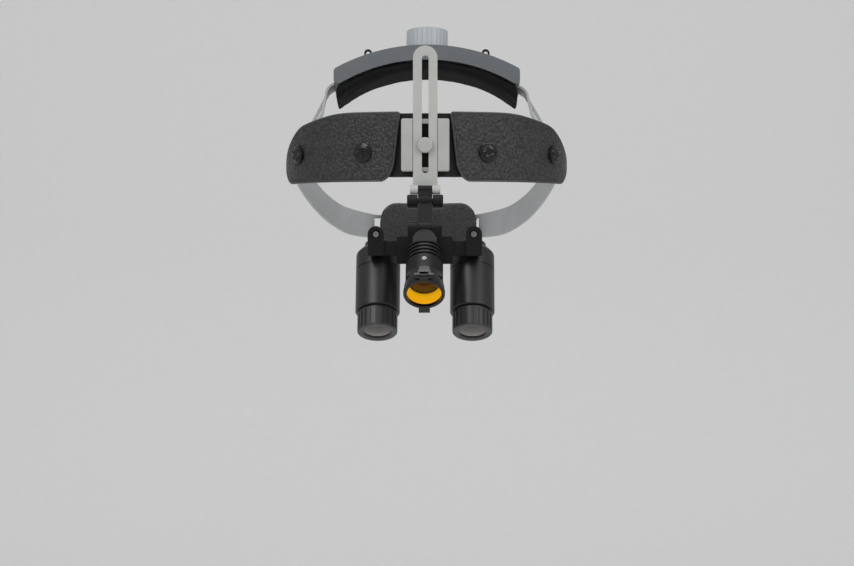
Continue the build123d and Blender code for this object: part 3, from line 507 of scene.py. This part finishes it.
# CAD node, new piece, material, voxel in mm, outward direction, most that a point moves in mm
PADS = (
    ("forehead_cushion", "brow_pad", "cushion_leather", 2.0, ring_outward, 2.2),
    ("nape_pad", "nape_cushion", "cushion_leather", 2.0, ring_outward, 2.5),
    ("crown_foam", "crown_pad", "foam", 2.0, crown_outward, 1.2),
)
PAD_ROUNDING = 4
for node, name, slot, voxel, outward, cap in PADS:
    pad = remeshed(node, name, MATERIALS[slot], voxel * MM, PAD_ROUNDING)
    puffed(pad, cap * MM, outward)
    subdivided(pad)
    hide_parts(node)
    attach(pad, "headband")


# ---------------------------------------------------------------- lamp interior

# The lamp's rear end, the way it points (forwards and down), and its upper side.
LAMP_START = Vector((0, -0.144, -0.0665))
LAMP_AIM = Vector((0, -math.sqrt(0.5), -math.sqrt(0.5)))
LAMP_UP = Vector((0, -math.sqrt(0.5), math.sqrt(0.5)))
# The reflector's wall as (radius, distance from the rear end) in mm: it widens to the bezel's mouth.
REFLECTOR = ((9.85, 27), (10.14, 29.6), (10.44, 32.2), (10.73, 34.8), (10.86, 34.95), (9.95, 27))


def turned(name, profile, start, aim, up, finish, steps=72):
    """A closed (radius, distance) profile in millimetres, turned about an axis."""
    across = aim.cross(up)
    work = bmesh.new()
    rings = []
    for step in range(steps):
        angle = 2 * math.pi * step / steps
        out = up * math.cos(angle) + across * math.sin(angle)
        ring = [work.verts.new(start + (out * radius + aim * along) * MM) for radius, along in profile]
        rings.append(ring)
    for index, ring in enumerate(rings):
        following = rings[(index + 1) % steps]
        for point in range(len(profile)):
            after = (point + 1) % len(profile)
            work.faces.new((ring[point], following[point], following[after], ring[after]))
    bmesh.ops.recalc_face_normals(work, faces=work.faces)
    mesh = bpy.data.meshes.new(name)
    work.to_mesh(mesh)
    work.free()
    return add_piece(name, mesh, finish)


# The reflector's material glows as painted light.
reflector = turned("lamp_reflector", REFLECTOR, LAMP_START, LAMP_AIM, LAMP_UP, reflector_painted_glow)
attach(reflector, "lamp")


# ---------------------------------------------------------------- floor, light and camera

FLOOR_Z = -0.60
FLOOR_HALF = 8.0
BACK_Y = 2.8
WALL_TOP = 4.0
CURVE_R = 0.6
CURVE_STEPS = 16


def backdrop():
    """A pale floor that curves up into a wall."""
    profile = [(-FLOOR_HALF, FLOOR_Z), (BACK_Y - CURVE_R, FLOOR_Z)]
    for step in range(1, CURVE_STEPS + 1):
        angle = math.pi / 2 * step / CURVE_STEPS
        y = BACK_Y - CURVE_R + CURVE_R * math.sin(angle)
        z = FLOOR_Z + CURVE_R * (1 - math.cos(angle))
        profile.append((y, z))
    profile.append((BACK_Y, WALL_TOP))
    work = bmesh.new()
    rows = [[work.verts.new((x, y, z)) for x in (-FLOOR_HALF, FLOOR_HALF)] for y, z in profile]
    for low, high in zip(rows, rows[1:]):
        work.faces.new((low[0], low[1], high[1], high[0]))
    mesh = bpy.data.meshes.new("studio_floor")
    work.to_mesh(mesh)
    work.free()
    finish = moulded("studio_paper", (0.74, 0.74, 0.74), 0.9, relief=0.02, spread=0.01)
    return add_piece("studio_floor", mesh, finish)


backdrop()

TARGET = Vector((0, -0.07, -0.02))


def soft_light(name, place, size, power):
    """A large square lamp aimed at the object."""
    lamp = bpy.data.lights.new(name, "AREA")
    lamp.size = size
    lamp.energy = power
    holder = bpy.data.objects.new(name, lamp)
    holder.location = place
    holder.rotation_mode = "QUATERNION"
    holder.rotation_quaternion = (TARGET - Vector(place)).to_track_quat("-Z", "Y")
    scene.collection.objects.link(holder)


# name, place, size and power in watts
LIGHTS = (
    ("key", (-1.0, -1.6, 1.5), 1.2, 22),
    ("fill", (1.3, -1.5, 0.9), 1.2, 15),
    ("top", (0, 0.1, 1.8), 1.5, 18),
)
for name, place, size, power in LIGHTS:
    soft_light(name, place, size, power)

AIR_STRENGTH = 0.55
world = bpy.data.worlds.new("studio_air")
scene.world = world
world.use_nodes = True
air = world.node_tree.nodes["Background"]
air.inputs["Color"].default_value = (1, 1, 1, 1)
air.inputs["Strength"].default_value = AIR_STRENGTH

scene.view_settings.view_transform = "Standard"

# The camera is level, a little to one side of the front and below the headband.
CAMERA_AZIMUTH = math.radians(0.6)
CAMERA_DISTANCE = 2.0
CAMERA_HEIGHT = -0.086
FOCAL_LENGTH = 124.9
SENSOR_WIDTH = 36

camera = bpy.data.cameras.new("camera")
camera.sensor_width = SENSOR_WIDTH
camera.lens = FOCAL_LENGTH
camera.clip_start, camera.clip_end = 0.05, 50
viewer = bpy.data.objects.new("camera", camera)
viewer.location = (
    CAMERA_DISTANCE * math.sin(CAMERA_AZIMUTH),
    -CAMERA_DISTANCE * math.cos(CAMERA_AZIMUTH),
    CAMERA_HEIGHT,
)
viewer.rotation_euler = (math.pi / 2, 0, CAMERA_AZIMUTH)
scene.collection.objects.link(viewer)
scene.camera = viewer
